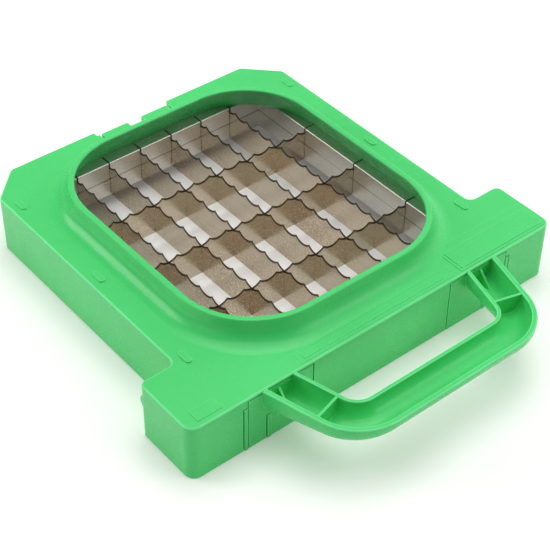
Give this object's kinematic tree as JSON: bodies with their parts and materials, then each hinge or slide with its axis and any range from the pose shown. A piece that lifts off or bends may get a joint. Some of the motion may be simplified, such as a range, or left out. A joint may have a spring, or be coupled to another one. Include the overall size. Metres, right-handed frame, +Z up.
{
  "type": "vegetable dicer blade cartridge",
  "caption": "Removable blade cartridge of a press-type vegetable dicer: moulded frame with feed collar and pull handle around a scalloped stainless blade grid.",
  "frame": {"origin": "bottom centre of the overall box, handle included", "axes": "+Z up through the feed mouth, +Y from the handle towards the rear wall, +X across the blades"},
  "size_m": [0.285, 0.3238, 0.0555],
  "materials": {
    "green_moulding": "semi-gloss injection-moulded green plastic with fine texture",
    "grey_moulding": "satin injection-moulded dark grey plastic",
    "blade_steel": "fine ground stainless steel with a bevelled scalloped edge",
    "rail_steel": "brushed stainless steel sheet",
    "screw_steel": "plain stainless screws"
  },
  "bodies": {
    "root": {"top_cover": "green_moulding", "base_tray": "grey_moulding", "pull_handle": "green_moulding", "upper_rail_rear": "rail_steel", "upper_rail_front": "rail_steel", "upper_rail_left": "rail_steel", "upper_rail_right": "rail_steel", "lower_rail_rear": "rail_steel", "lower_rail_front": "rail_steel", "lower_rail_left": "rail_steel", "lower_rail_right": "rail_steel", "long_blade_1": "blade_steel", "long_blade_2": "blade_steel", "long_blade_3": "blade_steel", "long_blade_4": "blade_steel", "long_blade_5": "blade_steel", "long_blade_6": "blade_steel", "cross_blade_1": "blade_steel", "cross_blade_2": "blade_steel", "cross_blade_3": "blade_steel", "cover_screws": "screw_steel", "handle_screws": "screw_steel"}
  },
  "joints": []
}
